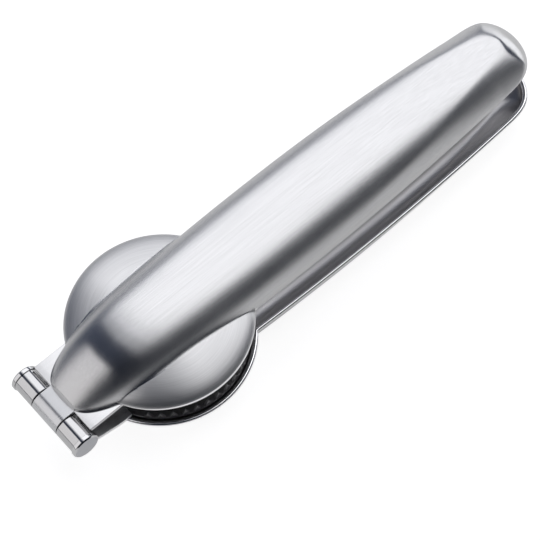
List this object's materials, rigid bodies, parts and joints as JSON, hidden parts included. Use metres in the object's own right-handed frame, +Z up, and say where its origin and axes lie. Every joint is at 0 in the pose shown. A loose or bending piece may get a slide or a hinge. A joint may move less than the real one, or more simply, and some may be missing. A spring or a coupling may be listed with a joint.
{
  "type": "chestnut cutter",
  "caption": "Hinged steel hand cutter with two hollow handles and round bowls; crossed blades in the upper bowl score a nut held in the toothed cup of the lower bowl.",
  "frame": {"origin": "under the middle of the bounding box, on the surface that the lower crown rests on", "axes": "+X from the hinge to the end of the handles, +Z up out of the upper half, Y along the hinge pin"},
  "size_m": [0.168, 0.051, 0.0305],
  "materials": {
    "brushed_shell": "satin, brushed along the handle",
    "polished_leaf": "polished",
    "polished_sleeve": "polished",
    "satin_plate": "satin with polished edges",
    "pin_steel": "turned",
    "cup_steel": "bright pressed",
    "blade_steel": "ground"
  },
  "bodies": {
    "lower_half": {"lower_shell": "brushed_shell", "lower_leaf": "polished_leaf", "cap_near": "satin_plate", "cap_far": "satin_plate", "sleeve_near": "polished_sleeve", "sleeve_far": "polished_sleeve", "hinge_pin": "pin_steel", "grip_cup": "cup_steel"},
    "upper_half": {"upper_shell": "brushed_shell", "upper_leaf": "polished_leaf", "blade_carrier": "cup_steel", "blade_lengthwise": "blade_steel", "blade_crosswise": "blade_steel"}
  },
  "joints": [
    {"name": "jaw_hinge", "type": "hinge", "parent": "lower_half", "child": "upper_half", "pos_m": [-0.08, 0, 0.0167], "axis": [0, -1, 0], "range_deg": [0, 110]}
  ]
}
